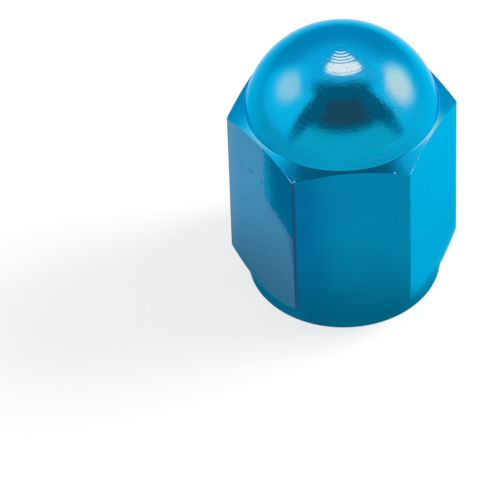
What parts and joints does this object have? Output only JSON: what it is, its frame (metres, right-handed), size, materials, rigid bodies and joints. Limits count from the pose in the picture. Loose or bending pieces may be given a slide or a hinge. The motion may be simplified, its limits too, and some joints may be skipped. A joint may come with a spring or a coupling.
{
  "type": "tyre valve cap",
  "caption": "Hexagonal metal tyre valve cap with a turned dome, a tapped bore and a rubber sealing washer.",
  "frame": {"origin": "centre of the mouth's rim, on the surface that the cap stands on", "axes": "+Z along the cap's axis from the mouth to the top of the dome; two of the six flats face -X and +X, and two corners lie on -Y and +Y"},
  "size_m": [0.01, 0.0114, 0.015],
  "materials": {
    "anodised_aluminium": "turned and drawn faces, satin, dyed cyan blue by anodising",
    "washer_rubber": "matt black cut from sheet"
  },
  "bodies": {
    "root": {"cap_body": "anodised_aluminium", "sealing_washer": "washer_rubber"}
  },
  "joints": []
}
